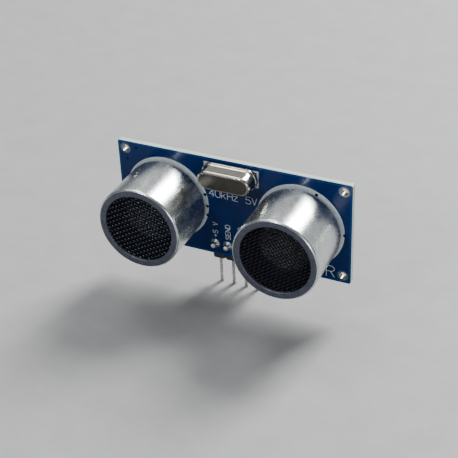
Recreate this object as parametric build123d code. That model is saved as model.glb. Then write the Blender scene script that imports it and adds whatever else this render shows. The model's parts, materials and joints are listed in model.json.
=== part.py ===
"""Ultrasonic distance sensor module: a small circuit board that carries a transmitter and a receiver.

Frame: X runs along the board, Z up, and the two transducers face -Y. The origin is the centre of the
four corner holes, in the plane of the board's front face. Every size is in millimetres.
Each separate piece is written to its own STEP file, and identical small pieces share one file.
"""
import os
from math import cos, hypot, radians, sin

from build123d import *

# ---------------------------------------------------------------- driving dimensions: the board
BOARD_W, BOARD_H = 45.5, 20.5
BOARD_CORNER_R = 0.4
CORE_T = 1.0
MASK_T = 0.045
MASK_GAP = 0.06                # how much wider a mask opening is than its pad
INK_T = 0.02
INK_LINE = 0.2
INK_GAP = 0.12                 # bare ring kept round pads and via bores
INK_RING_IN, INK_RING_OUT = 7.0, 8.35
INK_PACKAGE_OVER, INK_PACKAGE_H = 0.4, 3.4     # printed box at each package
INK_DOT_R, INK_DOT_OUT = 0.22, 1.3             # dot beside a package's first lead
INK_TICK, INK_TICK_OFF = 1.5, 0.72             # line along each side of a chip part
INK_BOX_W, INK_BOX_H, INK_BOX_LINE = 10.3, 3.1, 0.34

# Depths along Y, from the outer face of the front solder mask to that of the rear one.
FRONT = 0.0
CORE_FRONT = FRONT + MASK_T
CORE_REAR = CORE_FRONT + CORE_T
REAR = CORE_REAR + MASK_T
PAD_T = 0.06                   # foil and tin of an exposed pad
LAND_TOP = CORE_REAR + PAD_T

PLATE_T = 0.04                 # plating on a hole's wall
CORNER_PITCH_X, CORNER_PITCH_Z = 42.5, 17.5
CORNER_HOLE_R, CORNER_PAD_R = 0.7, 0.95
VIA_R = 0.2

# ---------------------------------------------------------------- driving dimensions: a transducer
EYE_PITCH = 26.2
CAN_R, CAN_WALL = 8.0, 0.5
CAN_FRONT, CAN_REAR = -11.7, -0.4
CAN_MOUTH_R = 6.55
CAN_CURL_R = 0.7
CAN_LIP_R, CAN_LIP_T = 6.9, 0.4
CAN_EDGE_R = 0.45
GRILLE_T, GRILLE_R = 0.25, 7.4
GRILLE_PITCH, GRILLE_WIRE = 0.575, 0.27
BASE_INNER = -3.0              # inner face of the moulded base
BASE_PROUD = 0.05              # how far the base stands behind the can's rolled edge
BASE_FOOT_R, BASE_FOOT_CIRCLE_R = 0.55, 5.6
RING_R_IN, RING_R_OUT, RING_T = 3.2, 4.6, 0.6
PLATE_R, PLATE_THICK = 4.9, 0.25
PIEZO_R, PIEZO_T = 3.9, 0.35
CONE_FOOT_R, CONE_MOUTH_R, CONE_WALL = 1.0, 4.85, 0.22
CONE_MOUTH_Y = -7.1
EYE_PIN_R, EYE_PIN_PITCH = 0.4, 10.0
EYE_PIN_INNER, EYE_PIN_TAIL, EYE_PIN_CHAMFER = -3.6, 1.25, 0.12
EYE_HOLE_R, EYE_PAD_R = 0.5, 1.0
WIRE_R, WIRE_RISE, WIRE_BEND_R = 0.09, 1.1, 0.25
WIRE_END_DIAPHRAGM, WIRE_END_PIEZO = 4.4, 3.4  # how far out each wire lands

# ---------------------------------------------------------------- driving dimensions: the crystal
CRYSTAL_Z = 7.65
CRYSTAL_FLANGE_W, CRYSTAL_FLANGE_H = 10.7, 4.3
CRYSTAL_CAN_W, CRYSTAL_CAN_H, CRYSTAL_CAN_FRONT = 10.1, 3.7, -3.65
CRYSTAL_BASE_REAR, CRYSTAL_BASE_T, CRYSTAL_RIM_T = -0.35, 0.45, 0.2
CRYSTAL_WALL, CRYSTAL_EDGE_R = 0.25, 0.42
CRYSTAL_LEAD_R, CRYSTAL_LEAD_PITCH, CRYSTAL_LEAD_TAIL = 0.215, 4.88, 1.0
CRYSTAL_HOLE_R, CRYSTAL_PAD_R = 0.4, 0.75
SEAL_R = 0.65
CRYSTAL_BASE_CHAMFER = 0.12
CRYSTAL_LEAD_INNER = 0.5       # length of lead inside the can
CLIP_T, CLIP_RISE, CLIP_INNER, CLIP_OUTER, CLIP_HALF_H = 0.12, 0.6, 2.0, 3.7, 0.6
BLANK_H, BLANK_T = 1.7, 0.14

# ---------------------------------------------------------------- driving dimensions: the pin header
PIN_PITCH, PIN_COUNT = 2.54, 4
PIN_SIDE = 0.64
PIN_HOLE_Z = -8.0
PIN_FRONT_TAIL = 1.3
PIN_BEND_R = 0.3               # inside of the bend
HEADER_TOP_Z = -9.5
HEADER_SIDE = 2.54
HEADER_FREE_PIN = 6.0
HEADER_NOTCH = 0.42
PIN_CHAMFER = 0.16
PIN_HOLE_R, PIN_PAD_R = 0.51, 0.85

# ---------------------------------------------------------------- driving dimensions: surface parts
LEAD_PITCH, LEAD_W, LEAD_T = 1.27, 0.41, 0.2
PACKAGE_W = {14: 8.65, 16: 9.9}  # by number of leads
PACKAGE_H, PACKAGE_D, PACKAGE_STANDOFF, PACKAGE_TAPER = 3.9, 1.4, 0.13, 8
DIMPLE_R, DIMPLE_IN, DIMPLE_DEPTH = 0.42, 0.95, 0.08
DIE_W, DIE_H, DIE_T = 1.8, 1.6, 0.25
PADDLE_W, PADDLE_H, PADDLE_T = 3.0, 2.2, 0.2
LEAD_TIP, LEAD_KNEE, LEAD_SHOULDER, LEAD_ROOT = 3.0, 2.45, 2.16, 1.6
SOIC_LAND = (0.62, 1.5)
SOIC_LAND_Z = 2.72
CHIP_L, CHIP_W, CHIP_END = 1.6, 0.8, 0.3
RESISTOR_T, OVERCOAT_T, CAPACITOR_T = 0.42, 0.03, 0.75
CHIP_STEP, OVERCOAT_INSET, TERMINAL_EDGE_R = 0.02, 0.08, 0.05
TOE_SHARE, TOE_RUN, CHIP_TOE_SHARE, CHIP_TOE_RUN, CHIP_TOE_WIDTH = 0.9, 0.36, 0.75, 0.34, 0.9
CHIP_LAND = (0.9, 0.85)
CHIP_LAND_OFFSET = 0.8

# Where the parts sit, as (X, Z).
EYES = {"transmitter": (-EYE_PITCH / 2, 0.0), "receiver": (EYE_PITCH / 2, 0.0)}
CORNER_HOLES = [(x * CORNER_PITCH_X / 2, z * CORNER_PITCH_Z / 2) for x in (-1, 1) for z in (-1, 1)]
EYE_HOLES = [(x + s * EYE_PIN_PITCH / 2, z) for x, z in EYES.values() for s in (-1, 1)]
CRYSTAL_HOLES = [(s * CRYSTAL_LEAD_PITCH / 2, CRYSTAL_Z) for s in (-1, 1)]
PIN_XS = [(i - (PIN_COUNT - 1) / 2) * PIN_PITCH for i in range(PIN_COUNT)]
PIN_HOLES = [(x, PIN_HOLE_Z) for x in PIN_XS]
VIAS = [
    (-15.3, 8.4), (-21.0, 6.6), (-19.0, 9.2), (-5.4, 2.25), (-5.05, -0.15), (-5.05, -2.1),
    (16.2, 7.05), (21.45, -0.15), (-20.6, -3.0), (-6.6, 6.2), (7.7, 4.9), (6.2, 3.0), (5.2, -4.3),
    (-7.9, -3.9), (18.6, -4.3), (7.2, -8.6), (-11.2, -9.4), (12.45, 5.5), (-8.9, 5.2), (19.2, 2.4),
]
ICS = {  # name: (X, Z, number of leads)
    "driver": (-14.4, -5.4, 16),
    "microcontroller": (0.0, 0.4, 14),
    "amplifier": (13.7, -5.4, 14),
}
UPRIGHT, FLAT = True, False
RESISTORS = [
    (9.6, 7.6, UPRIGHT), (11.5, 7.6, UPRIGHT), (15.3, 7.6, UPRIGHT), (17.2, 7.6, UPRIGHT),
    (11.5, 3.4, UPRIGHT), (13.4, 3.4, UPRIGHT), (17.2, 3.4, UPRIGHT),
    (-15.3, 3.6, UPRIGHT), (-11.5, 3.6, UPRIGHT), (-17.2, 6.6, FLAT),
    (6.4, 1.0, UPRIGHT), (-6.7, -5.4, UPRIGHT),
]
CAPACITORS = [
    (13.4, 7.6, UPRIGHT), (9.6, 3.4, UPRIGHT), (15.3, 3.4, UPRIGHT),
    (-17.2, 3.6, UPRIGHT), (-13.4, 3.6, UPRIGHT), (-17.2, 8.4, FLAT),
    (-4.9, 7.7, UPRIGHT), (4.9, 7.7, UPRIGHT), (7.2, -4.9, UPRIGHT), (-6.5, -2.2, UPRIGHT),
]
TRANSISTOR = (-12.3, 7.4)
TRANSISTOR_LEADS = [(-0.95, -1.05), (0.95, -1.05), (0.0, 1.05)]
TRANSISTOR_LAND = (0.7, 0.8)
TRANSISTOR_BODY = (2.9, 1.3, 0.95)
TRANSISTOR_STANDOFF, TRANSISTOR_LEAD_T, TRANSISTOR_LEAD_W = 0.08, 0.13, 0.42
TRANSISTOR_LEAD_RISE, TRANSISTOR_LEAD_ROOT = 0.5, 0.45

# ---------------------------------------------------------------- driving dimensions: solder joints
JOINT_SHARE = 0.92             # how much of its pad a joint covers
EYE_JOINT_RISE, EYE_JOINT_TIP_R = 1.0, 0.5
CRYSTAL_JOINT_RISE, CRYSTAL_JOINT_TIP_R = 0.8, 0.3
PIN_JOINT_REAR_RISE, PIN_JOINT_FRONT_RISE, PIN_JOINT_TIP_R = 0.45, 1.0, 0.5


# ---------------------------------------------------------------- making shapes
def plate(sketch, y_from, y_to):
    """A sketch drawn in (X, Z), as a plate between two depths along Y."""
    return extrude(Plane.XZ.offset(-y_to) * sketch, amount=y_to - y_from)


def turned(points, rounded=()):
    """A closed profile of (radius, Y) points turned round the Y axis. rounded holds (corner, radius)."""
    face = make_face(Polyline(*points, close=True))
    for (r, y), radius in rounded:
        corner = face.vertices().sort_by_distance((r, y, 0))[0]
        face = fillet(corner, radius)
    return revolve(face, axis=Axis.Y)


def rod(x, z, r, y_from, y_to):
    """A round rod along Y."""
    return plate(Pos(x, z) * Circle(r), y_from, y_to)


def brick(x0, x1, y0, y1, z0, z1):
    """A box between two corners."""
    return Pos((x0 + x1) / 2, (y0 + y1) / 2, (z0 + z1) / 2) * Box(x1 - x0, y1 - y0, z1 - z0)


def at(spots, sketch):
    """Copies of a sketch at (X, Z) spots, as one list."""
    return [Pos(x, z) * sketch for x, z in spots]


def save(name, shape):
    """Writes one node. A list is a group of separate solids."""
    solids = shape if isinstance(shape, list) else [shape]
    flat = [s for each in solids for s in each.solids()]
    export_step(flat[0] if len(flat) == 1 else Compound(children=flat), f"parts/{name}.step")


# ---------------------------------------------------------------- lands and openings
def turn(spot, upright, dx, dz):
    """A point given along and across a chip, placed on the board."""
    x, z = spot
    return (x - dz, z + dx) if upright else (x + dx, z + dz)


def soic_pin(name, number):
    """The (X, Z) of one lead's land. Leads count along the lower row, then back along the upper row."""
    x, z, count = ICS[name]
    half = count // 2
    lower = number <= half
    step = number - 1 if lower else count - number
    return (x + (step - (half - 1) / 2) * LEAD_PITCH, z + (-SOIC_LAND_Z if lower else SOIC_LAND_Z))


def land_shapes():
    """Each exposed land on the rear as (X, Z, width, height)."""
    lands = []
    for name, (_, _, count) in ICS.items():
        lands += [(*soic_pin(name, n), *SOIC_LAND) for n in range(1, count + 1)]
    for x, z, upright in RESISTORS + CAPACITORS:
        w, h = reversed(CHIP_LAND) if upright else CHIP_LAND
        for s in (-1, 1):
            lands.append((*turn((x, z), upright, s * CHIP_LAND_OFFSET, 0), w, h))
    for dx, dz in TRANSISTOR_LEADS:
        lands.append((TRANSISTOR[0] + dx, TRANSISTOR[1] + dz, *TRANSISTOR_LAND))
    return lands


LANDS = land_shapes()
PADS = (
    [(x, z, CORNER_PAD_R) for x, z in CORNER_HOLES]
    + [(x, z, EYE_PAD_R) for x, z in EYE_HOLES]
    + [(x, z, CRYSTAL_PAD_R) for x, z in CRYSTAL_HOLES]
    + [(x, z, PIN_PAD_R) for x, z in PIN_HOLES]
)


def pad_cutouts(extra):
    """Discs over every plated pad, each wider than the pad by extra."""
    return [Pos(x, z) * Circle(r + extra) for x, z, r in PADS]


def land_cutouts(extra):
    """Rectangles over every rear land, each wider than the land by extra all round."""
    return [Pos(x, z) * Rectangle(w + 2 * extra, h + 2 * extra) for x, z, w, h in LANDS]


# ---------------------------------------------------------------- the bare board
def board_outline():
    return RectangleRounded(BOARD_W, BOARD_H, BOARD_CORNER_R)


def core():
    """The glass-epoxy core with every drilled hole."""
    drilled = (
        at(CORNER_HOLES, Circle(CORNER_HOLE_R + PLATE_T))
        + at(EYE_HOLES, Circle(EYE_HOLE_R + PLATE_T))
        + at(CRYSTAL_HOLES, Circle(CRYSTAL_HOLE_R + PLATE_T))
        + at(PIN_HOLES, Circle(PIN_HOLE_R + PLATE_T))
        + at(VIAS, Circle(VIA_R + PLATE_T))
    )
    return plate(board_outline() - drilled, CORE_FRONT, CORE_REAR)


def mask(openings, y_from, y_to):
    """The lacquer on one face, open at the pads and at the bore of each via."""
    return plate(board_outline() - openings - at(VIAS, Circle(VIA_R)), y_from, y_to)


def plating(spots, hole_r, pad_r):
    """Plated holes: a tube through the core with a pad on each face."""
    rivets = []
    for x, z in spots:
        wall = plate(Circle(hole_r + PLATE_T) - Circle(hole_r), CORE_FRONT - PAD_T, LAND_TOP)
        front = plate(Circle(pad_r) - Circle(hole_r), CORE_FRONT - PAD_T, CORE_FRONT)
        rear = plate(Circle(pad_r) - Circle(hole_r), CORE_REAR, LAND_TOP)
        rivets.append(Pos(x, 0, z) * (wall + front + rear))
    return rivets


def via_plating():
    """The vias' plated bores. Their pads lie under the lacquer."""
    bore = Circle(VIA_R + PLATE_T) - Circle(VIA_R)
    return [plate(spot, CORE_FRONT, CORE_REAR) for spot in at(VIAS, bore)]


def outline(w, h, line):
    """A rectangle drawn with a printed line."""
    return Rectangle(w + line, h + line) - Rectangle(w - line, h - line)


def ink_cutouts():
    return pad_cutouts(INK_GAP) + at(VIAS, Circle(VIA_R + INK_GAP))


def front_legend():
    """White print on the front: a broad ring round each transducer and a box round the crystal."""
    ring = Circle(INK_RING_OUT) - Circle(INK_RING_IN)
    rings = Sketch() + at(EYES.values(), ring)
    crystal = Pos(0, CRYSTAL_Z) * outline(INK_BOX_W, INK_BOX_H, INK_BOX_LINE)
    return plate(rings + crystal - ink_cutouts(), FRONT - INK_T, FRONT)


def rear_legend():
    """White print on the rear: a box and a dot at each package, two ticks at each chip part."""
    marks = []
    for x, z, count in ICS.values():
        box = outline(count // 2 * LEAD_PITCH + INK_PACKAGE_OVER, INK_PACKAGE_H, INK_LINE)
        marks.append(Pos(x, z) * box)
        dot_x = x - count // 4 * LEAD_PITCH - INK_DOT_OUT
        marks.append(Pos(dot_x, z - SOIC_LAND_Z) * Circle(INK_DOT_R))
    for x, z, upright in RESISTORS + CAPACITORS:
        for side in (-1, 1):
            spot = turn((x, z), upright, 0, side * INK_TICK_OFF)
            size = (INK_LINE, INK_TICK) if upright else (INK_TICK, INK_LINE)
            marks.append(Pos(*spot) * Rectangle(*size))
    printed = Sketch() + marks
    return plate(printed - land_cutouts(INK_GAP) - ink_cutouts(), REAR, REAR + INK_T)


def rear_lands():
    return [plate(Pos(x, z) * Rectangle(w, h), CORE_REAR, LAND_TOP) for x, z, w, h in LANDS]


def solder_cone(base_r, tip_r, base_y, tip_y):
    """A cone of solder with a hollow side."""
    rise = tip_y - base_y
    return turned([
        (0, base_y), (base_r, base_y), (tip_r + (base_r - tip_r) * 0.5, base_y + rise * 0.22),
        (tip_r + (base_r - tip_r) * 0.12, base_y + rise * 0.6), (tip_r, tip_y), (0, tip_y),
    ])


def joint(spot, hole_r, pad_r, pin, rear_rise, tip_r, front_rise=0):
    """Solder in one plated hole and standing on its pads, with room cut for the pin."""
    x, z = spot
    front, rear = CORE_FRONT - PAD_T, LAND_TOP
    base_r = pad_r * JOINT_SHARE
    fill = rod(0, 0, hole_r, front, rear) + solder_cone(base_r, tip_r, rear, rear + rear_rise)
    if front_rise:
        fill += solder_cone(base_r, tip_r, front, front - front_rise)
    return Pos(x, 0, z) * fill - pin


# ---------------------------------------------------------------- the transducers
def can():
    """A drawn aluminium can: turned-in rim at the mouth, rounded edge rolled over the base."""
    inner_r = CAN_R - CAN_WALL
    lip_inner = CAN_REAR - CAN_LIP_T
    corners = [
        (CAN_MOUTH_R, CAN_FRONT), (CAN_R, CAN_FRONT), (CAN_R, CAN_REAR), (CAN_LIP_R, CAN_REAR),
        (CAN_LIP_R, lip_inner), (inner_r, lip_inner), (inner_r, CAN_FRONT + CAN_WALL),
        (CAN_MOUTH_R, CAN_FRONT + CAN_WALL),
    ]
    rounded = [
        (corners[1], CAN_EDGE_R), (corners[2], CAN_CURL_R), (corners[0], CAN_WALL * 0.4),
        (corners[3], CAN_LIP_T * 0.4),
    ]
    return turned(corners, rounded)


def grille():
    """The screen behind the mouth, as a flat lattice of square openings."""
    opening = GRILLE_PITCH - GRILLE_WIRE
    reach = int(GRILLE_R / GRILLE_PITCH)
    limit = CAN_MOUTH_R + 0.1
    holes = []
    for i in range(-reach, reach + 1):
        for j in range(-reach, reach + 1):
            x, z = i * GRILLE_PITCH, j * GRILLE_PITCH
            if hypot(x, z) < limit:
                holes.append(Plane.XZ * Pos(x, z) * Wire.make_rect(opening, opening))
    disc = Plane.XZ * Wire.make_circle(GRILLE_R)
    face = Face(disc, holes)
    depth = CAN_FRONT + CAN_WALL + GRILLE_T
    return Pos(0, depth, 0) * Solid.extrude(face, Vector(0, -GRILLE_T, 0))


def eye_base():
    """The moulded base plug with three feet, pierced by the two pins."""
    inner_r = CAN_R - CAN_WALL
    rear = CAN_REAR + BASE_PROUD
    plug = turned([(0, rear), (CAN_LIP_R, rear), (CAN_LIP_R, CAN_REAR - CAN_LIP_T),
                   (inner_r, CAN_REAR - CAN_LIP_T), (inner_r, BASE_INNER), (0, BASE_INNER)])
    feet = []
    for turn_deg in (90, 210, 330):
        a = radians(turn_deg)
        spot = (BASE_FOOT_CIRCLE_R * cos(a), BASE_FOOT_CIRCLE_R * sin(a))
        feet.append(rod(*spot, BASE_FOOT_R, rear, FRONT))
    return plug + feet - eye_pins()


def eye_pins():
    """Two straight pins from inside the can through the board."""
    tail = REAR + EYE_PIN_TAIL
    made = []
    for side in (-1, 1):
        pin = rod(side * EYE_PIN_PITCH / 2, 0, EYE_PIN_R, EYE_PIN_INNER, tail)
        made.append(chamfer(pin.edges().filter_by(GeomType.CIRCLE).sort_by(Axis.Y)[-1], EYE_PIN_CHAMFER))
    return made


RING_FRONT = BASE_INNER - RING_T
PLATE_FRONT = RING_FRONT - PLATE_THICK
PIEZO_FRONT = PLATE_FRONT - PIEZO_T
WIRE_TOP = EYE_PIN_INNER - WIRE_RISE


def damping_ring():
    ring = plate(Circle(RING_R_OUT) - Circle(RING_R_IN), RING_FRONT, BASE_INNER)
    return ring - eye_pins()


def cone():
    """A thin spun cone that stands on the piezo disc and opens towards the grille."""
    foot = PIEZO_FRONT
    return turned([
        (0, foot), (CONE_FOOT_R, foot), (CONE_MOUTH_R, CONE_MOUTH_Y + CONE_WALL),
        (CONE_MOUTH_R, CONE_MOUTH_Y), (CONE_MOUTH_R - CONE_WALL, CONE_MOUTH_Y),
        (CONE_FOOT_R - 0.1, foot - CONE_WALL * 1.25), (0, foot - CONE_WALL * 1.25),
    ])


def lead_wire(side, end_r, end_y):
    """A fine wire from the inner end of a pin, over and down onto a disc."""
    pin_x = side * EYE_PIN_PITCH / 2
    path = FilletPolyline(
        (pin_x, EYE_PIN_INNER, 0), (pin_x, WIRE_TOP, 0), (side * end_r, WIRE_TOP, 0),
        (side * end_r, end_y, 0), radius=WIRE_BEND_R,
    )
    start = Plane(path @ 0, z_dir=path % 0)
    return sweep(start * Circle(WIRE_R), path=path)


def save_eye(name):
    """Writes one transducer's pieces at its place on the board."""
    x, z = EYES[name]
    spot = Pos(x, 0, z)
    pieces = {
        "can": can(),
        "grille": grille(),
        "base": eye_base(),
        "pins": eye_pins(),
        "damping_ring": damping_ring(),
        "diaphragm": rod(0, 0, PLATE_R, PLATE_FRONT, RING_FRONT) - eye_pins(),
        "piezo_disc": rod(0, 0, PIEZO_R, PIEZO_FRONT, PLATE_FRONT),
        "cone": cone(),
        "lead_wires": [
            lead_wire(1, WIRE_END_DIAPHRAGM, PLATE_FRONT), lead_wire(-1, WIRE_END_PIEZO, PIEZO_FRONT),
        ],
    }
    for piece, shape in pieces.items():
        moved = [spot * s for s in shape] if isinstance(shape, list) else spot * shape
        save(f"{name}_{piece}", moved)


# ---------------------------------------------------------------- the crystal
def stadium(w, h):
    return SlotOverall(w, h)


def crystal_leads():
    return [rod(x, z, CRYSTAL_LEAD_R, CRYSTAL_INNER, REAR + CRYSTAL_LEAD_TAIL) for x, z in CRYSTAL_HOLES]


CRYSTAL_BASE_FRONT = CRYSTAL_BASE_REAR - CRYSTAL_BASE_T
CRYSTAL_INNER = CRYSTAL_BASE_FRONT - CRYSTAL_LEAD_INNER


def crystal_can():
    """The drawn can: a tub with rounded edges and a weld flange."""
    place = Pos(0, CRYSTAL_Z)
    tub = plate(place * stadium(CRYSTAL_CAN_W, CRYSTAL_CAN_H), CRYSTAL_CAN_FRONT, CRYSTAL_BASE_FRONT)
    front_edges = tub.faces().sort_by(Axis.Y)[0].edges()
    tub = fillet(front_edges, CRYSTAL_EDGE_R)
    rim = plate(place * stadium(CRYSTAL_FLANGE_W, CRYSTAL_FLANGE_H),
                CRYSTAL_BASE_FRONT - CRYSTAL_RIM_T, CRYSTAL_BASE_FRONT)
    hollow = plate(place * stadium(CRYSTAL_CAN_W - 2 * CRYSTAL_WALL, CRYSTAL_CAN_H - 2 * CRYSTAL_WALL),
                   CRYSTAL_CAN_FRONT + CRYSTAL_WALL, CRYSTAL_BASE_FRONT)
    return tub + rim - hollow


def crystal_base():
    """The base plate under the can, bored for the two glass seals."""
    sheet = stadium(CRYSTAL_FLANGE_W, CRYSTAL_FLANGE_H)
    body = plate(Pos(0, CRYSTAL_Z) * sheet - at(CRYSTAL_HOLES, Circle(SEAL_R)),
                 CRYSTAL_BASE_FRONT, CRYSTAL_BASE_REAR)
    return chamfer(body.faces().sort_by(Axis.Y)[-1].outer_wire().edges(), CRYSTAL_BASE_CHAMFER)


def glass_seals():
    ring = Circle(SEAL_R) - Circle(CRYSTAL_LEAD_R)
    return [plate(s, CRYSTAL_BASE_FRONT, CRYSTAL_BASE_REAR) for s in at(CRYSTAL_HOLES, ring)]


def crystal_clips():
    """Two spring clips on the leads' inner ends that hold the blank by its ends."""
    made = []
    for side in (-1, 1):
        near, far = sorted((side * CLIP_INNER, side * CLIP_OUTER))
        foot = brick(near, far, CRYSTAL_INNER - CLIP_T, CRYSTAL_INNER,
                     CRYSTAL_Z - CLIP_HALF_H, CRYSTAL_Z + CLIP_HALF_H)
        near, far = sorted((side * (CLIP_OUTER - CLIP_T), side * CLIP_OUTER))
        post = brick(near, far, CRYSTAL_INNER - CLIP_RISE, CRYSTAL_INNER,
                     CRYSTAL_Z - CLIP_HALF_H, CRYSTAL_Z + CLIP_HALF_H)
        made.append(foot + post)
    return made


def crystal_blank():
    """The quartz strip that stands on the clips' ends."""
    rear = CRYSTAL_INNER - CLIP_RISE
    half = BLANK_H / 2
    return brick(-CLIP_OUTER, CLIP_OUTER, rear - BLANK_T, rear, CRYSTAL_Z - half, CRYSTAL_Z + half)


# ---------------------------------------------------------------- the pin header
def header_pins():
    """Four square pins bent at a right angle: a short leg through the board, a long leg down."""
    leg_y = REAR + HEADER_SIDE / 2
    tip_z = HEADER_TOP_Z - HEADER_SIDE - HEADER_FREE_PIN
    half = PIN_SIDE / 2
    front_y = FRONT - PIN_FRONT_TAIL
    outline_yz = make_face(Plane.YZ * Polyline(
        (front_y, PIN_HOLE_Z - half), (front_y, PIN_HOLE_Z + half), (leg_y + half, PIN_HOLE_Z + half),
        (leg_y + half, tip_z), (leg_y - half, tip_z), (leg_y - half, PIN_HOLE_Z - half), close=True))
    bend_out = outline_yz.vertices().sort_by_distance((0, leg_y + half, PIN_HOLE_Z + half))[0]
    bent = fillet(bend_out, PIN_BEND_R + PIN_SIDE)
    bend_in = bent.vertices().sort_by_distance((0, leg_y - half, PIN_HOLE_Z - half))[0]
    bent = fillet(bend_in, PIN_BEND_R)
    made = []
    for x in PIN_XS:
        pin = Pos(x - half, 0, 0) * extrude(bent, amount=PIN_SIDE, dir=(1, 0, 0))
        pin = chamfer(pin.faces().sort_by(Axis.Z)[0].edges(), PIN_CHAMFER)
        pin = chamfer(pin.faces().sort_by(Axis.Y)[0].edges(), PIN_CHAMFER)
        made.append(pin)
    return made


def header_body():
    """The moulded strip that holds the pins, notched between neighbours."""
    half_w = PIN_COUNT * PIN_PITCH / 2
    bottom = HEADER_TOP_Z - HEADER_SIDE
    block = brick(-half_w, half_w, REAR, REAR + HEADER_SIDE, bottom, HEADER_TOP_Z)
    notches = []
    for i in range(PIN_COUNT + 1):
        x = (i - PIN_COUNT / 2) * PIN_PITCH
        for y in (REAR, REAR + HEADER_SIDE):
            wedge = Pos(x, y, (bottom + HEADER_TOP_Z) / 2) * Rot(0, 0, 45) * Box(
                HEADER_NOTCH * 2 ** 0.5, HEADER_NOTCH * 2 ** 0.5, HEADER_SIDE + 1)
            notches.append(wedge)
    return block - notches - header_pins()


# ---------------------------------------------------------------- surface-mounted parts
LEAD_MID = LAND_TOP + PACKAGE_STANDOFF + PACKAGE_D / 2


def gull_lead():
    """One gull-wing lead on the +Z side of a package, centred on X = 0."""
    t = LEAD_T / 2
    high, low = LEAD_MID, LAND_TOP + t
    points = [
        (high + t, LEAD_ROOT), (high + t, LEAD_SHOULDER + t), (low + t, LEAD_KNEE + t * 0.7),
        (low + t, LEAD_TIP), (low - t, LEAD_TIP), (low - t, LEAD_KNEE - t * 0.9),
        (high - t, LEAD_SHOULDER - t * 0.7), (high - t, LEAD_ROOT),
    ]
    face = make_face(Plane.YZ * Polyline(*points, close=True))
    for index, radius in ((1, 0.2), (2, 0.08), (5, 0.2), (6, 0.08)):
        y, z = points[index]
        face = fillet(face.vertices().sort_by_distance((0, y, z))[0], radius)
    return Pos(-LEAD_W / 2, 0, 0) * extrude(face, amount=LEAD_W, dir=(1, 0, 0))


def gull_leads(name):
    """Both rows of leads of one package."""
    x, z, count = ICS[name]
    one = gull_lead()
    flipped = mirror(one, about=Plane.XY)
    made = []
    for n in range(1, count + 1):
        lead_x, lead_z = soic_pin(name, n)
        made.append(Pos(lead_x, 0, z) * (one if lead_z > z else flipped))
    return made


def package(w, h, d, bottom):
    """A moulded package with drafted sides, at the origin of X and Z."""
    middle = bottom + d / 2
    halves = []
    for direction in (1, -1):
        sheet = Plane((0, middle, 0), x_dir=(1, 0, 0), z_dir=(0, direction, 0)) * Rectangle(w, h)
        halves.append(extrude(sheet, amount=d / 2, taper=PACKAGE_TAPER))
    return halves[0] + halves[1]


def die_parts(name):
    """The silicon die on its paddle, inside the package."""
    x, z, _ = ICS[name]
    paddle_top = LEAD_MID + PADDLE_T / 2
    paddle = Pos(x, LEAD_MID, z) * Box(PADDLE_W, PADDLE_T, PADDLE_H)
    die = Pos(x, paddle_top + DIE_T / 2, z) * Box(DIE_W, DIE_T, DIE_H)
    return [paddle, die]


def ic_package(name):
    x, z, count = ICS[name]
    length = PACKAGE_W[count]
    body = Pos(x, 0, z) * package(length, PACKAGE_H, PACKAGE_D, LAND_TOP + PACKAGE_STANDOFF)
    top = LAND_TOP + PACKAGE_STANDOFF + PACKAGE_D
    corner = (x - length / 2 + DIMPLE_IN, z - PACKAGE_H / 2 + DIMPLE_IN)
    dimple = rod(*corner, DIMPLE_R, top - DIMPLE_DEPTH, top + DIMPLE_DEPTH)
    return body - dimple - gull_leads(name) - die_parts(name)


def transistor_leads():
    """Three small gull-wing leads."""
    x, z = TRANSISTOR
    t, w = TRANSISTOR_LEAD_T, TRANSISTOR_LEAD_W
    high = LAND_TOP + TRANSISTOR_LEAD_RISE
    made = []
    for dx, dz in TRANSISTOR_LEADS:
        s = 1 if dz > 0 else -1
        tip, knee, root = abs(dz) + 0.2, abs(dz) - 0.1, TRANSISTOR_LEAD_ROOT
        points = [(high + t, root), (high + t, knee - 0.05), (LAND_TOP + t, knee + 0.05), (LAND_TOP + t, tip),
                  (LAND_TOP, tip), (LAND_TOP, knee - 0.08), (high, knee - 0.18), (high, root)]
        face = make_face(Plane.YZ * Polyline(*[(y, s * v) for y, v in points], close=True))
        made.append(Pos(x + dx - w / 2, 0, z) * extrude(face, amount=w, dir=(1, 0, 0)))
    return made


def transistor_package():
    w, h, d = TRANSISTOR_BODY
    body = Pos(TRANSISTOR[0], 0, TRANSISTOR[1]) * package(w, h, d, LAND_TOP + TRANSISTOR_STANDOFF)
    return body - transistor_leads()


def chip_brick(spot, upright, along, across, y0, y1):
    """A box on a chip part, given as spans along and across the chip."""
    ends = [turn(spot, upright, a, c) for a, c in zip(along, across)]
    xs, zs = sorted(p[0] for p in ends), sorted(p[1] for p in ends)
    return brick(*xs, y0, y1, *zs)


def chip_bodies(chips, thick):
    half, side = CHIP_L / 2 - CHIP_END, CHIP_W / 2 - CHIP_STEP
    low, high = LAND_TOP + CHIP_STEP, LAND_TOP + thick - CHIP_STEP
    return [chip_brick((x, z), up, (-half, half), (-side, side), low, high) for x, z, up in chips]


def chip_terminals(chips, thick):
    made = []
    for x, z, up in chips:
        for s in (-1, 1):
            along = sorted((s * (CHIP_L / 2 - CHIP_END), s * CHIP_L / 2))
            end = chip_brick((x, z), up, along, (-CHIP_W / 2, CHIP_W / 2), LAND_TOP, LAND_TOP + thick)
            made.append(fillet(end.edges(), TERMINAL_EDGE_R))
    return made


def chip_overcoats():
    top = LAND_TOP + RESISTOR_T - CHIP_STEP
    half, side = CHIP_L / 2 - CHIP_END, CHIP_W / 2 - OVERCOAT_INSET
    return [chip_brick((x, z), up, (-half, half), (-side, side), top, top + OVERCOAT_T)
            for x, z, up in RESISTORS]


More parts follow.
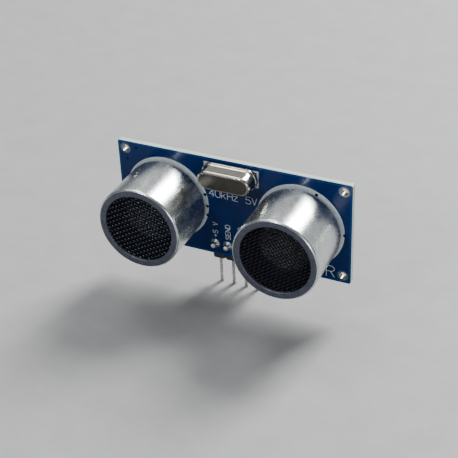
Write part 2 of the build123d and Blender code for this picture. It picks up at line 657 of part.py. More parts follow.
def toe_fillet(rise, run, width):
    """Solder against an end face in the plane Z = 0: a hollow wedge that runs out along +Z."""
    points = [(0, 0), (rise, 0), (rise * 0.35, run * 0.35), (0, run)]
    face = make_face(Plane.YZ * Polyline(*[(LAND_TOP + y, z) for y, z in points], close=True))
    return Pos(-width / 2, 0, 0) * extrude(face, amount=width, dir=(1, 0, 0))


def surface_solder():
    """A hollow fillet at the toe of each lead and at each end of each chip part."""
    made = []
    lead_toe = toe_fillet(LEAD_T * TOE_SHARE, TOE_RUN, LEAD_W)
    for name, (_, z, count) in ICS.items():
        for n in range(1, count + 1):
            lead_x, lead_z = soic_pin(name, n)
            facing = 0 if lead_z > z else 180
            side = 1 if lead_z > z else -1
            made.append(Pos(lead_x, 0, z + side * LEAD_TIP) * Rot(0, facing, 0) * lead_toe)
    for chips, thick in ((RESISTORS, RESISTOR_T), (CAPACITORS, CAPACITOR_T)):
        chip_toe = toe_fillet(thick * CHIP_TOE_SHARE, CHIP_TOE_RUN, CHIP_W * CHIP_TOE_WIDTH)
        for x, z, up in chips:
            for s in (-1, 1):
                end = turn((x, z), up, s * CHIP_L / 2, 0)
                facing = (0 if s > 0 else 180) if up else (90 if s > 0 else -90)
                made.append(Pos(end[0], 0, end[1]) * Rot(0, facing, 0) * chip_toe)
    return made


# ---------------------------------------------------------------- writing every node
def main():
    os.makedirs("parts", exist_ok=True)
    save("board_core", core())
    save("front_solder_mask", mask(pad_cutouts(MASK_GAP), FRONT, CORE_FRONT))
    save("rear_solder_mask", mask(pad_cutouts(MASK_GAP) + land_cutouts(MASK_GAP), CORE_REAR, REAR))
    save("front_legend_ink", front_legend())
    save("rear_legend_ink", rear_legend())
    save("corner_hole_plating", plating(CORNER_HOLES, CORNER_HOLE_R, CORNER_PAD_R))
    save("transducer_hole_plating", plating(EYE_HOLES, EYE_HOLE_R, EYE_PAD_R))
    save("crystal_hole_plating", plating(CRYSTAL_HOLES, CRYSTAL_HOLE_R, CRYSTAL_PAD_R))
    save("header_hole_plating", plating(PIN_HOLES, PIN_HOLE_R, PIN_PAD_R))
    save("via_plating", via_plating())
    save("rear_solder_lands", rear_lands())

    for name in EYES:
        save_eye(name)
    eye_joints = []
    for x, z in EYES.values():
        pins = [Pos(x, 0, z) * pin for pin in eye_pins()]
        for side, pin in zip((-1, 1), pins):
            spot = (x + side * EYE_PIN_PITCH / 2, z)
            eye_joints.append(joint(spot, EYE_HOLE_R, EYE_PAD_R, pin, EYE_JOINT_RISE, EYE_JOINT_TIP_R))
    save("transducer_solder", eye_joints)

    save("crystal_can", crystal_can())
    save("crystal_base", crystal_base())
    save("crystal_glass_seals", glass_seals())
    save("crystal_leads", crystal_leads())
    save("crystal_clips", crystal_clips())
    save("crystal_blank", crystal_blank())
    save("crystal_solder", [
        joint(spot, CRYSTAL_HOLE_R, CRYSTAL_PAD_R, lead, CRYSTAL_JOINT_RISE, CRYSTAL_JOINT_TIP_R)
        for spot, lead in zip(CRYSTAL_HOLES, crystal_leads())
    ])

    save("header_body", header_body())
    save("header_pins", header_pins())
    save("header_solder", [
        joint(spot, PIN_HOLE_R, PIN_PAD_R, pin, PIN_JOINT_REAR_RISE, PIN_JOINT_TIP_R, PIN_JOINT_FRONT_RISE)
        for spot, pin in zip(PIN_HOLES, header_pins())
    ])

    for name in ICS:
        save(f"{name}_package", ic_package(name))
        save(f"{name}_leads", gull_leads(name))
        save(f"{name}_die", die_parts(name))
    save("transistor_package", transistor_package())
    save("transistor_leads", transistor_leads())
    save("chip_resistor_bodies", chip_bodies(RESISTORS, RESISTOR_T))
    save("chip_resistor_overcoats", chip_overcoats())
    save("chip_resistor_terminals", chip_terminals(RESISTORS, RESISTOR_T))
    save("chip_capacitor_bodies", chip_bodies(CAPACITORS, CAPACITOR_T))
    save("chip_capacitor_terminals", chip_terminals(CAPACITORS, CAPACITOR_T))
    save("surface_solder", surface_solder())


main()
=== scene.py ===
"""Looks of the ultrasonic distance sensor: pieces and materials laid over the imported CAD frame.

Sizes in this script are millimetres in the row frame (X along the board, -Y the way the transducers
face, +Z up) and are turned into metres when a mesh is made. Places come from the frame's own boxes.
"""
import json
import math

import bpy
from mathutils import Matrix, Vector
from mathutils.geometry import delaunay_2d_cdt
from mathutils.noise import noise


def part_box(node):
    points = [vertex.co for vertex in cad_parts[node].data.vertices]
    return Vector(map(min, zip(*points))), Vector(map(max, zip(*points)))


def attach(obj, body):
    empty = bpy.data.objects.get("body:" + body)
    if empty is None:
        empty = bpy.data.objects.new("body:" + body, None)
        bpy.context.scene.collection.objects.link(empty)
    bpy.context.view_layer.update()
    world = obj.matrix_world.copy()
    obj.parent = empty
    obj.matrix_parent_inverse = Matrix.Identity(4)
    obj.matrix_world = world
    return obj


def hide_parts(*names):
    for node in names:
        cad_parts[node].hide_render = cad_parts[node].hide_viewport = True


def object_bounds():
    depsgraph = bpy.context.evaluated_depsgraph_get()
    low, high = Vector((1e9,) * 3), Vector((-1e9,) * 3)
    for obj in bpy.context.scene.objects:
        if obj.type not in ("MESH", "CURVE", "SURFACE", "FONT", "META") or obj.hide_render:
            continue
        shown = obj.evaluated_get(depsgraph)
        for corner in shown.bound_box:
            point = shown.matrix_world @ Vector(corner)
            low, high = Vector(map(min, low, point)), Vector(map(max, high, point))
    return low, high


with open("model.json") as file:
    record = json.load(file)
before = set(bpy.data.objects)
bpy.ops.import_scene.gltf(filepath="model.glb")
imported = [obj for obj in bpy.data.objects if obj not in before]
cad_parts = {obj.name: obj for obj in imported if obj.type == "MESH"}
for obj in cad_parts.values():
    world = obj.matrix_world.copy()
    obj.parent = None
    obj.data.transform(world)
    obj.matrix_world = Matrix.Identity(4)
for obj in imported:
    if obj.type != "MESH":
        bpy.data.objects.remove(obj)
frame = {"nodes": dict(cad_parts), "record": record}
cad_lo, cad_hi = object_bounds()

MM = 0.001
TAU = math.tau


# ---------------------------------------------------------------- places read from the frame
def box_mm(node):
    """Lowest and highest corner of a CAD node, in millimetres."""
    lo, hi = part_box(node)
    return lo / MM, hi / MM


def middle(node):
    lo, hi = box_mm(node)
    return (lo + hi) / 2


BOARD_LO, BOARD_HI = box_mm("board_core")
FRONT = box_mm("front_solder_mask")[0].y
REAR = box_mm("rear_solder_mask")[1].y

# The two transducers are the eyes. Their cans are alike.
EYES = {name: middle(f"{name}_can") for name in ("transmitter", "receiver")}
CAN_LO, CAN_HI = box_mm("transmitter_can")
CAN_R = (CAN_HI.x - CAN_LO.x) / 2
CAN_FRONT, CAN_REAR = CAN_LO.y, CAN_HI.y
CAN_WALL = 0.5
SCREEN_CROWN_Y = CAN_FRONT + CAN_WALL  # where the foremost wire crowns touch the can's rim

HEADER_LO, HEADER_HI = box_mm("header_solder")
PIN_PITCH = 2.54
PIN_XS = [(i - 1.5) * PIN_PITCH for i in range(4)]
PIN_Z = (HEADER_LO.z + HEADER_HI.z) / 2


def islands(node):
    """The (X, Z) box of each separate solid of a node, from its mesh."""
    mesh = frame["nodes"][node].data
    parent = list(range(len(mesh.vertices)))

    def root(i):
        while parent[i] != i:
            parent[i] = parent[parent[i]]
            i = parent[i]
        return i

    seen = {}
    for v in mesh.vertices:
        spot = tuple(round(c / MM, 3) for c in v.co)
        first = seen.setdefault(spot, v.index)
        parent[root(v.index)] = root(first)
    for edge in mesh.edges:
        start, end = edge.vertices
        parent[root(start)] = root(end)
    boxes = {}
    for v in mesh.vertices:
        x, z = v.co.x / MM, v.co.z / MM
        x0, x1, z0, z1 = boxes.get(root(v.index), (x, x, z, z))
        boxes[root(v.index)] = (min(x0, x), max(x1, x), min(z0, z), max(z1, z))
    return sorted(boxes.values())


def centre_of(box):
    x0, x1, z0, z1 = box
    return (x0 + x1) / 2, (z0 + z1) / 2


def centres(node):
    return [centre_of(box) for box in islands(node)]


# ---------------------------------------------------------------- material building blocks
def new_material(name):
    material = bpy.data.materials.new(name)
    material.use_nodes = True
    nodes = material.node_tree.nodes
    return material, nodes, material.node_tree.links, nodes["Principled BSDF"]


def object_coordinates(nodes):
    return nodes.new("ShaderNodeTexCoord").outputs["Object"]


def stretched(nodes, links, scale):
    """Object coordinates with a separate scale on each axis."""
    mapping = nodes.new("ShaderNodeMapping")
    mapping.inputs["Scale"].default_value = scale
    links.new(object_coordinates(nodes), mapping.inputs["Vector"])
    return mapping.outputs["Vector"]


def noise_of(nodes, links, vector, scale, detail, rough=0.55):
    """A noise texture. scale counts features per metre."""
    tex = nodes.new("ShaderNodeTexNoise")
    tex.inputs["Scale"].default_value = scale
    tex.inputs["Detail"].default_value = detail
    tex.inputs["Roughness"].default_value = rough
    links.new(vector, tex.inputs["Vector"])
    return tex.outputs["Fac"]


def spread(nodes, links, value, low, high):
    """Maps a 0.3 to 0.7 value onto low to high."""
    ramp = nodes.new("ShaderNodeMapRange")
    for socket, number in (("From Min", 0.3), ("From Max", 0.7), ("To Min", low), ("To Max", high)):
        ramp.inputs[socket].default_value = number
    links.new(value, ramp.inputs["Value"])
    return ramp.outputs["Result"]


def blend_colours(nodes, links, value, dark, light):
    """The dark colour where value is 0 and the light one where it is 1."""
    mix = nodes.new("ShaderNodeMix")
    mix.data_type = "RGBA"
    mix.inputs[6].default_value = (*dark, 1)
    mix.inputs[7].default_value = (*light, 1)
    links.new(value, mix.inputs[0])
    return mix.outputs[2]


def bump(nodes, links, shader, height, distance, strength=1.0):
    node = nodes.new("ShaderNodeBump")
    node.inputs["Strength"].default_value = strength
    node.inputs["Distance"].default_value = distance
    links.new(height, node.inputs["Height"])
    links.new(node.outputs["Normal"], shader.inputs["Normal"])


def speckled(name, dark, light, metallic, rough, grain, bump_mm):
    """The common case: colour, roughness and height all varied by noise. grain is features per mm."""
    material, nodes, links, shader = new_material(name)
    where = object_coordinates(nodes)
    fine = noise_of(nodes, links, where, grain / MM, 4.0)
    broad = noise_of(nodes, links, where, grain / MM / 6, 2.0)
    colour = blend_colours(nodes, links, spread(nodes, links, broad, 0, 1), dark, light)
    links.new(colour, shader.inputs["Base Color"])
    links.new(spread(nodes, links, fine, *rough), shader.inputs["Roughness"])
    shader.inputs["Metallic"].default_value = metallic
    if bump_mm:
        bump(nodes, links, shader, fine, bump_mm * MM)
    return material


# ---------------------------------------------------------------- the materials
ALUMINIUM_TINT, DRAW_RELIEF = (0.955, 1, 0.98), 0.0042


def drawn_aluminium(name, rough, shine):
    """Deep-drawn aluminium: draw marks along Y, a frosty grain and cloudy patches of duller metal."""
    material, nodes, links, shader = new_material(name)
    streaks = noise_of(nodes, links, stretched(nodes, links, (1, 0.06, 1)), 2600, 5.0, 0.6)
    grain = noise_of(nodes, links, object_coordinates(nodes), 4200, 4.0, 0.7)
    cloud = noise_of(nodes, links, stretched(nodes, links, (1, 0.6, 1)), 700, 4.0, 0.7)
    relief = nodes.new("ShaderNodeMath")
    relief.operation = "MULTIPLY_ADD"
    relief.inputs[1].default_value = 0.5
    links.new(streaks, relief.inputs[0])
    links.new(grain, relief.inputs[2])
    mottle = nodes.new("ShaderNodeMix")
    mottle.inputs[0].default_value = 0.6
    links.new(cloud, mottle.inputs[2])
    links.new(grain, mottle.inputs[3])
    dark, light = ([grey * part for part in ALUMINIUM_TINT] for grey in shine)
    colour = blend_colours(nodes, links, spread(nodes, links, cloud, 0, 1), dark, light)
    links.new(colour, shader.inputs["Base Color"])
    links.new(spread(nodes, links, mottle.outputs[0], *rough), shader.inputs["Roughness"])
    shader.inputs["Metallic"].default_value = 1.0
    axis = nodes.new("ShaderNodeCombineXYZ")
    axis.inputs["Y"].default_value = 1
    links.new(axis.outputs["Vector"], shader.inputs["Tangent"])
    shader.inputs["Anisotropic"].default_value = 0.6
    bump(nodes, links, shader, relief.outputs["Value"], DRAW_RELIEF * MM)
    return material


def lacquer(name, colour, deep):
    """Solder mask: glossy tinted lacquer with slight waviness from the foil and the weave beneath."""
    material, nodes, links, shader = new_material(name)
    where = object_coordinates(nodes)
    wave = noise_of(nodes, links, where, 420, 2.0)
    weave = noise_of(nodes, links, stretched(nodes, links, (1, 1, 0.6)), 2400, 2.0)
    tinted = blend_colours(nodes, links, spread(nodes, links, wave, 0, 1), deep, colour)
    links.new(tinted, shader.inputs["Base Color"])
    links.new(spread(nodes, links, weave, 0.10, 0.16), shader.inputs["Roughness"])
    shader.inputs["IOR"].default_value = 1.45
    shader.inputs["Specular IOR Level"].default_value = 0.22
    bump(nodes, links, shader, weave, 0.003 * MM, 0.5)
    return material


# How far back from the foremost crowns the painted glint colour reaches
GLINT_DEPTH = 0.075  # from the crowns back


def screen_wire(name, coating, crown):
    """Black wire whose colour is lighter on the foremost crowns of the weave: a painted glint."""
    material, nodes, links, shader = new_material(name)
    axes = nodes.new("ShaderNodeSeparateXYZ")
    links.new(object_coordinates(nodes), axes.inputs["Vector"])
    # The lighter crown colour is a painted glint that fades out a short way behind the foremost crowns.
    painted_glint = nodes.new("ShaderNodeMapRange")
    depths = (("From Min", SCREEN_CROWN_Y * MM), ("From Max", (SCREEN_CROWN_Y + GLINT_DEPTH) * MM))
    for socket, number in (*depths, ("To Min", 1), ("To Max", 0)):
        painted_glint.inputs[socket].default_value = number
    links.new(axes.outputs["Y"], painted_glint.inputs["Value"])
    colour = blend_colours(nodes, links, painted_glint.outputs["Result"], coating, crown)
    links.new(colour, shader.inputs["Base Color"])
    grain = noise_of(nodes, links, object_coordinates(nodes), 9000, 3.0)
    links.new(spread(nodes, links, grain, 0.22, 0.36), shader.inputs["Roughness"])
    shader.inputs["Metallic"].default_value = 1.0
    bump(nodes, links, shader, grain, 0.001 * MM)
    return material


RESIN_GLOW = (0.6, 0.6, 0.4)  # how far red, green and blue light spread in the resin


def laminate(name):
    """Cut edge of glass-epoxy: pale resin with glass layers along Y and saw marks."""
    material, nodes, links, shader = new_material(name)
    layers = noise_of(nodes, links, stretched(nodes, links, (0.15, 9, 0.15)), 1500, 3.0)
    saw = noise_of(nodes, links, stretched(nodes, links, (1, 0.1, 1)), 4200, 2.0)
    resin, glass = (0.24, 0.275, 0.21), (0.40, 0.47, 0.42)
    colour = blend_colours(nodes, links, spread(nodes, links, layers, 0, 1), resin, glass)
    links.new(colour, shader.inputs["Base Color"])
    links.new(spread(nodes, links, saw, 0.45, 0.7), shader.inputs["Roughness"])
    shader.inputs["Subsurface Weight"].default_value = 0.15
    shader.inputs["Subsurface Radius"].default_value = [reach * MM for reach in RESIN_GLOW]
    bump(nodes, links, shader, saw, 0.012 * MM)
    return material


# Each row: dark and light colour, metallic, roughness from and to, grain per mm, height of the bump in mm
SPECKLED = {
    "white_ink": ((0.42, 0.47, 0.50), (0.56, 0.62, 0.65), 0, (0.45, 0.65), 9, 0.006),
    "tinned_copper": ((0.12, 0.12, 0.11), (0.19, 0.19, 0.17), 1, (0.16, 0.30), 6, 0.006),
    # via_bore: near-black metal, painted shade of the via holes
    "via_bore": ((0.02, 0.02, 0.02), (0.05, 0.05, 0.05), 1, (0.4, 0.6), 8, 0.004),
    "solder": ((0.66, 0.66, 0.64), (0.86, 0.86, 0.85), 1, (0.12, 0.30), 5, 0.02),
    # can_rim: darker and bluer than the can's metal, a painted reflection of dark surroundings
    "can_rim": ((0.088, 0.096, 0.130), (0.126, 0.137, 0.176), 1, (0.40, 0.56), 9, 0.008),
    "diaphragm_brass": ((0.60, 0.44, 0.18), (0.74, 0.58, 0.28), 1, (0.25, 0.45), 5, 0.004),
    "piezo_ceramic": ((0.52, 0.50, 0.46), (0.64, 0.62, 0.58), 0.3, (0.35, 0.5), 8, 0.004),
    "silicone_rubber": ((0.60, 0.60, 0.58), (0.72, 0.72, 0.70), 0, (0.5, 0.65), 4, 0.004),
    "black_nylon": ((0.010, 0.010, 0.011), (0.022, 0.022, 0.024), 0, (0.38, 0.55), 10, 0.01),
    "tinned_pin": ((0.66, 0.66, 0.65), (0.82, 0.82, 0.80), 1, (0.18, 0.32), 6, 0.004),
    "enamelled_wire": ((0.50, 0.20, 0.08), (0.66, 0.30, 0.13), 1, (0.2, 0.3), 8, 0),
    "nickel_silver": ((0.36, 0.335, 0.29), (0.42, 0.39, 0.34), 1, (0.14, 0.22), 7, 0.0006),
    # crystal_face: a far darker copy of nickel_silver, a painted reflection of dark surroundings
    "crystal_face": ((0.060, 0.056, 0.050), (0.072, 0.067, 0.061), 1, (0.16, 0.24), 7, 0.0006),
    "seal_glass": ((0.02, 0.05, 0.035), (0.04, 0.08, 0.06), 0, (0.08, 0.15), 5, 0),
    "quartz": ((0.70, 0.72, 0.72), (0.82, 0.84, 0.84), 0, (0.1, 0.2), 5, 0),
    "moulding_compound": ((0.012, 0.012, 0.013), (0.028, 0.028, 0.03), 0, (0.5, 0.72), 16, 0.012),
    "silicon": ((0.16, 0.17, 0.20), (0.22, 0.23, 0.26), 0.5, (0.1, 0.2), 4, 0),
    "alumina": ((0.74, 0.73, 0.69), (0.85, 0.84, 0.80), 0, (0.45, 0.6), 9, 0.004),
    "resistor_glaze": ((0.010, 0.010, 0.011), (0.02, 0.02, 0.022), 0, (0.2, 0.3), 9, 0.004),
    "capacitor_ceramic": ((0.30, 0.20, 0.12), (0.40, 0.28, 0.18), 0, (0.35, 0.5), 9, 0.004),
}
MATERIALS = {name: speckled(name, *look) for name, look in SPECKLED.items()}
MATERIALS |= {
    "fr4_laminate": laminate("fr4_laminate"),
    "blue_solder_mask": lacquer("bare_margin_lacquer", (0.0006, 0.037, 0.158), (0.0004, 0.028, 0.128)),
    "poured": lacquer("lacquer_over_copper", (0.0002, 0.0158, 0.088), (0.0001, 0.0116, 0.068)),
    "can_aluminium": drawn_aluminium("can_aluminium", (0.22, 0.32), (0.52, 0.73)),
    "cone_aluminium": drawn_aluminium("cone_aluminium", (0.56, 0.72), (0.54, 0.68)),
    # The crown colours are painted glints. The receiver's screen is a darker copy of the same wire with
    # dimmer glints: painted shade.
    "black_mesh": screen_wire("black_mesh", (0.022, 0.024, 0.038), (0.185, 0.195, 0.24)),
    "receiver_mesh": screen_wire("receiver_mesh", (0.018, 0.018, 0.026), (0.045, 0.045, 0.05)),
}


# ---------------------------------------------------------------- meshes
def add_piece(name, shape, slot, look=None, stands_for=(), smooth_angle=35):
    """Makes one piece from (verts, faces) in millimetres. It rides on the root body."""
    verts, faces = shape
    mesh = bpy.data.meshes.new(name)
    mesh.from_pydata([Vector(v) * MM for v in verts], [], faces)
    mesh.validate()
    piece = bpy.data.objects.new(name, mesh)
    bpy.context.scene.collection.objects.link(piece)
    mesh.materials.append(MATERIALS[look or slot])
    mesh.shade_smooth()
    if smooth_angle is not None:
        mesh.set_sharp_from_angle(angle=math.radians(smooth_angle))
    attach(piece, "root")
    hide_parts(*stands_for)
    return piece


def joined(parts):
    """Several (verts, faces) pairs as one."""
    verts, faces = [], []
    for part_verts, part_faces in parts:
        start = len(verts)
        verts += part_verts
        faces += [tuple(i + start for i in face) for face in part_faces]
    return verts, faces


def arc(centre, radius, start, end, steps):
    """Points of an arc in a plane. Angles in degrees, 0 along its first axis, 90 along its second."""
    turns = [math.radians(start + (end - start) * i / steps) for i in range(steps + 1)]
    return [(centre[0] + radius * math.cos(a), centre[1] + radius * math.sin(a)) for a in turns]


def lathe(profile, centre, segments, wobble=None):
    """A closed (radius, Y) profile turned round the line along Y through centre, which is (X, Z)."""
    verts, faces, rings = [], [], []
    for radius, y in profile:
        if radius == 0:
            rings.append([len(verts)])
            verts.append((centre[0], y, centre[1]))
            continue
        rings.append(list(range(len(verts), len(verts) + segments)))
        for i in range(segments):
            a = TAU * i / segments
            r = radius * (wobble(a, y) if wobble else 1)
            verts.append((centre[0] + r * math.cos(a), y, centre[1] + r * math.sin(a)))
    for ring, after in zip(rings, rings[1:] + rings[:1]):
        for i in range(segments):
            j = (i + 1) % segments
            if len(ring) == 1 and len(after) == 1:
                break
            if len(ring) == 1:
                faces.append((ring[0], after[j], after[i]))
            elif len(after) == 1:
                faces.append((ring[i], ring[j], after[0]))
            else:
                faces.append((ring[i], ring[j], after[j], after[i]))
    return verts, faces


def circle_points(x, z, r, steps=40):
    return [(x + r * math.cos(TAU * i / steps), z + r * math.sin(TAU * i / steps)) for i in range(steps)]


def box_points(x0, x1, z0, z1):
    return [(x0, z0), (x1, z0), (x1, z1), (x0, z1)]


def grown(box, gap):
    """A box (x0, x1, z0, z1) pushed out by gap on every side."""
    x0, x1, z0, z1 = box
    return x0 - gap, x1 + gap, z0 - gap, z1 + gap


def in_box(x, z, box):
    x0, x1, z0, z1 = box
    return x0 < x < x1 and z0 < z < z1


def flat_layer(outlines, inside, y_from, y_to):
    """A thin layer. The outlines cut the plane into cells, and those whose middle is inside are kept."""
    points, edges = [], []
    for outline in outlines:
        start = len(points)
        points += [Vector(p) for p in outline]
        count = len(outline)
        edges += [(start + i, start + (i + 1) % count) for i in range(count)]
    spots, _, cells, _, _, _ = delaunay_2d_cdt(points, edges, [], 0, 1e-5)
    kept = [c for c in cells if inside(*(sum((spots[i] for i in c), Vector((0, 0))) / len(c)))]
    used = sorted({i for c in kept for i in c})
    place = {old: new for new, old in enumerate(used)}
    near = [(spots[i].x, y_from, spots[i].y) for i in used]
    far = [(spots[i].x, y_to, spots[i].y) for i in used]
    lift = len(used)
    faces, rim = [], {}  # a dict keeps the rim's edges in order
    for cell in kept:
        loop = [place[i] for i in cell]
        faces.append(tuple(loop))
        faces.append(tuple(i + lift for i in reversed(loop)))
        for a, b in zip(loop, loop[1:] + loop[:1]):
            if (b, a) in rim:
                del rim[(b, a)]
            else:
                rim[(a, b)] = True
    faces += [(b, a, a + lift, b + lift) for a, b in rim]
    return near + far, faces


def distance_to_run(x, z, a, b):
    """Distance from a point to the straight run from a to b."""
    dx, dz = b[0] - a[0], b[1] - a[1]
    t = ((x - a[0]) * dx + (z - a[1]) * dz) / max(dx * dx + dz * dz, 1e-12)
    t = min(max(t, 0.0), 1.0)
    return math.hypot(x - a[0] - t * dx, z - a[1] - t * dz)


def run_outline(a, b, half, steps=10):
    """A round-ended band round one straight run."""
    heading = math.atan2(b[1] - a[1], b[0] - a[0])
    spots = []
    for end, turn in ((b, -90), (a, 90)):
        for i in range(steps + 1):
            angle = heading + math.radians(turn + 180 * i / steps)
            spots.append((end[0] + half * math.cos(angle), end[1] + half * math.sin(angle)))
    return spots


def runs_of(routes):
    """The straight runs of some routes, each route a list of points."""
    return [(a, b) for route in routes for a, b in zip(route, route[1:])]


# ---------------------------------------------------------------- transducers
MOUTH_R = 6.55
MOUTH_EDGE_R, MOUTH_CORNER_R = 0.16, 0.1
CAN_EDGE_R, CAN_CURL_R = 0.45, 0.7
CAN_LIP_R, CAN_LIP_T = 6.9, 0.4
RIM_BRIGHT_W, RIM_FLAT_DEPTH = 0.3, 0.1


def can_profile():
    """The can's section: turned-in rim with a soft inner edge, straight wall, rolled rear edge."""
    inner = CAN_R - CAN_WALL
    lip_front, rim_rear = CAN_REAR - CAN_LIP_T, CAN_FRONT + CAN_WALL
    mouth_edge = (MOUTH_R + MOUTH_EDGE_R, CAN_FRONT + MOUTH_EDGE_R)
    edge = (CAN_R - CAN_EDGE_R, CAN_FRONT + CAN_EDGE_R)
    curl = (CAN_R - CAN_CURL_R, CAN_REAR - CAN_CURL_R)
    corner = (inner - MOUTH_CORNER_R, rim_rear + MOUTH_CORNER_R)
    return (
        arc(mouth_edge, MOUTH_EDGE_R, 180, 270, 5)
        + arc(edge, CAN_EDGE_R, 270, 360, 10)
        + arc(curl, CAN_CURL_R, 0, 90, 10)
        + [(CAN_LIP_R, CAN_REAR), (CAN_LIP_R, lip_front), (inner, lip_front)]
        + arc(corner, MOUTH_CORNER_R, 0, -90, 3)
        + [(MOUTH_R, rim_rear)]
    )


def add_can(name, centre):
    """The can. Its flat rim is a duller band than the drawn wall, coloured darker blue-grey as a painted
    reflection of dark surroundings.
    """
    shell = lathe(can_profile(), (centre.x, centre.z), 192)
    can = add_piece(f"{name}_can_shell", shell, "can_aluminium", stands_for=[f"{name}_can"], smooth_angle=40)
    can.data.materials.append(MATERIALS["can_rim"])
    # The flat rim faces get the dark blue-grey can_rim colour: painted reflection of dark surroundings.
    for face in can.data.polygons:
        spot = face.center / MM
        r = math.hypot(spot.x - centre.x, spot.z - centre.z)
        if spot.y < CAN_FRONT + RIM_FLAT_DEPTH and r < CAN_R - RIM_BRIGHT_W:
            face.material_index = 1


WIRE_PITCH, WIRE_R = 0.575, 0.135
WIRE_STEPS, WIRE_SIDES = 6, 8
WARP_CRIMP, WEFT_CRIMP = 1.3 * WIRE_R, 0.7 * WIRE_R
SCREEN_Y = SCREEN_CROWN_Y + WARP_CRIMP + WIRE_R
WEAVE_R = 7.35


def woven_wire(offset, parity, turn, crimp, centre):
    """One wire of a plain weave, running at the angle turn and offset sideways from the middle."""
    reach = math.sqrt(WEAVE_R ** 2 - offset ** 2)
    count = max(2, int(2 * reach / WIRE_PITCH * WIRE_STEPS))
    along = Vector((math.cos(turn), 0, math.sin(turn)))
    across = Vector((-math.sin(turn), 0, math.cos(turn)))
    verts, faces = [], []
    for i in range(count + 1):
        t = -reach + 2 * reach * i / count
        phase = math.pi * (t / WIRE_PITCH + parity)
        rise = crimp * math.cos(phase)
        slope = -crimp * math.pi / WIRE_PITCH * math.sin(phase)
        forward = (along + Vector((0, slope, 0))).normalized()
        lift = forward.cross(across)
        spot = Vector((centre.x, SCREEN_Y + rise, centre.z)) + along * t + across * offset
        for k in range(WIRE_SIDES):
            a = TAU * k / WIRE_SIDES
            verts.append(tuple(spot + (across * math.cos(a) + lift * math.sin(a)) * WIRE_R))
    for i in range(count):
        for k in range(WIRE_SIDES):
            a, b = i * WIRE_SIDES + k, i * WIRE_SIDES + (k + 1) % WIRE_SIDES
            faces.append((a, a + WIRE_SIDES, b + WIRE_SIDES, b))
    faces.append(tuple(range(WIRE_SIDES)))
    faces.append(tuple(reversed(range(count * WIRE_SIDES, (count + 1) * WIRE_SIDES))))
    return verts, faces


def add_mesh_screen(name, centre, turn_deg, look):
    """A disc of plain-woven wire behind the can's rim."""
    turn = math.radians(turn_deg)
    half = int(WEAVE_R / WIRE_PITCH)
    wires = []
    for i in range(-half, half + 1):
        wires.append(woven_wire(i * WIRE_PITCH, i, turn, WARP_CRIMP, centre))
        wires.append(woven_wire(i * WIRE_PITCH, i + 1, turn + math.pi / 2, WEFT_CRIMP, centre))
    add_piece(f"{name}_woven_screen", joined(wires), "black_mesh", look, [f"{name}_grille"], None)


CONE_WALL, CONE_FOOT_R = 0.22, 1.0
CONE_FLOOR_T, CONE_FOOT_WALL = 0.275, 0.1


def add_cone(name, centre):
    """The spun cone, with the CAD cone's outline and a rounded lip."""
    lo, hi = box_mm(f"{name}_cone")
    mouth_r = (hi.x - lo.x) / 2
    foot_y, floor_y, mouth_y = hi.y, hi.y - CONE_FLOOR_T, lo.y
    lip_r = CONE_WALL / 2
    profile = (
        [(0, foot_y), (CONE_FOOT_R, foot_y), (mouth_r, mouth_y + CONE_WALL)]
        + arc((mouth_r - lip_r, mouth_y + lip_r), lip_r, 0, -180, 6)
        + [(CONE_FOOT_R - CONE_FOOT_WALL, floor_y), (0, floor_y)]
    )
    shell = lathe(profile, (centre.x, centre.z), 96)
    add_piece(f"{name}_spun_cone", shell, "cone_aluminium", stands_for=[f"{name}_cone"])


SCREENS = {"transmitter": (-14.5, "black_mesh"), "receiver": (35, "receiver_mesh")}


def add_eyes():
    for name, centre in EYES.items():
        add_can(name, centre)
        add_mesh_screen(name, centre, *SCREENS[name])
        add_cone(name, centre)


# ---------------------------------------------------------------- crystal
def stadium_ring(centre, w, h, steps=24):
    """Points round a stadium in (X, Z), w by h over all."""
    r = h / 2
    straight = w / 2 - r
    return (
        arc((centre.x + straight, centre.z), r, -90, 90, steps)
        + arc((centre.x - straight, centre.z), r, 90, 270, steps)
    )


def stadium_loft(centre, levels):
    """Stadium rings joined into a closed shell. Each level is (width, height, Y)."""
    rings = [stadium_ring(centre, w, h) for w, h, _ in levels]
    verts = [(x, y, z) for ring, (_, _, y) in zip(rings, levels) for x, z in ring]
    n = len(rings[0])
    faces = [
        (k * n + i, k * n + (i + 1) % n, (k + 1) * n + (i + 1) % n, (k + 1) * n + i)
        for k in range(len(levels) - 1)
        for i in range(n)
    ]
    faces.append(tuple(reversed(range(n))))
    faces.append(tuple(range((len(levels) - 1) * n, len(levels) * n)))
    return verts, faces


FLANGE_STEP, FLANGE_T, FLANGE_EDGE = 0.3, 0.2, 0.06
CRYSTAL_EDGE_R = 0.42
FILLET_OUT, FILLET_RUN = 0.26, 0.8
CRYSTAL_LIFT = 0.01  # keeps the can off its base
FLAT_FACE_DEPTH = 0.001
QUARTER = [math.radians(90 * i / 8) for i in range(9)]


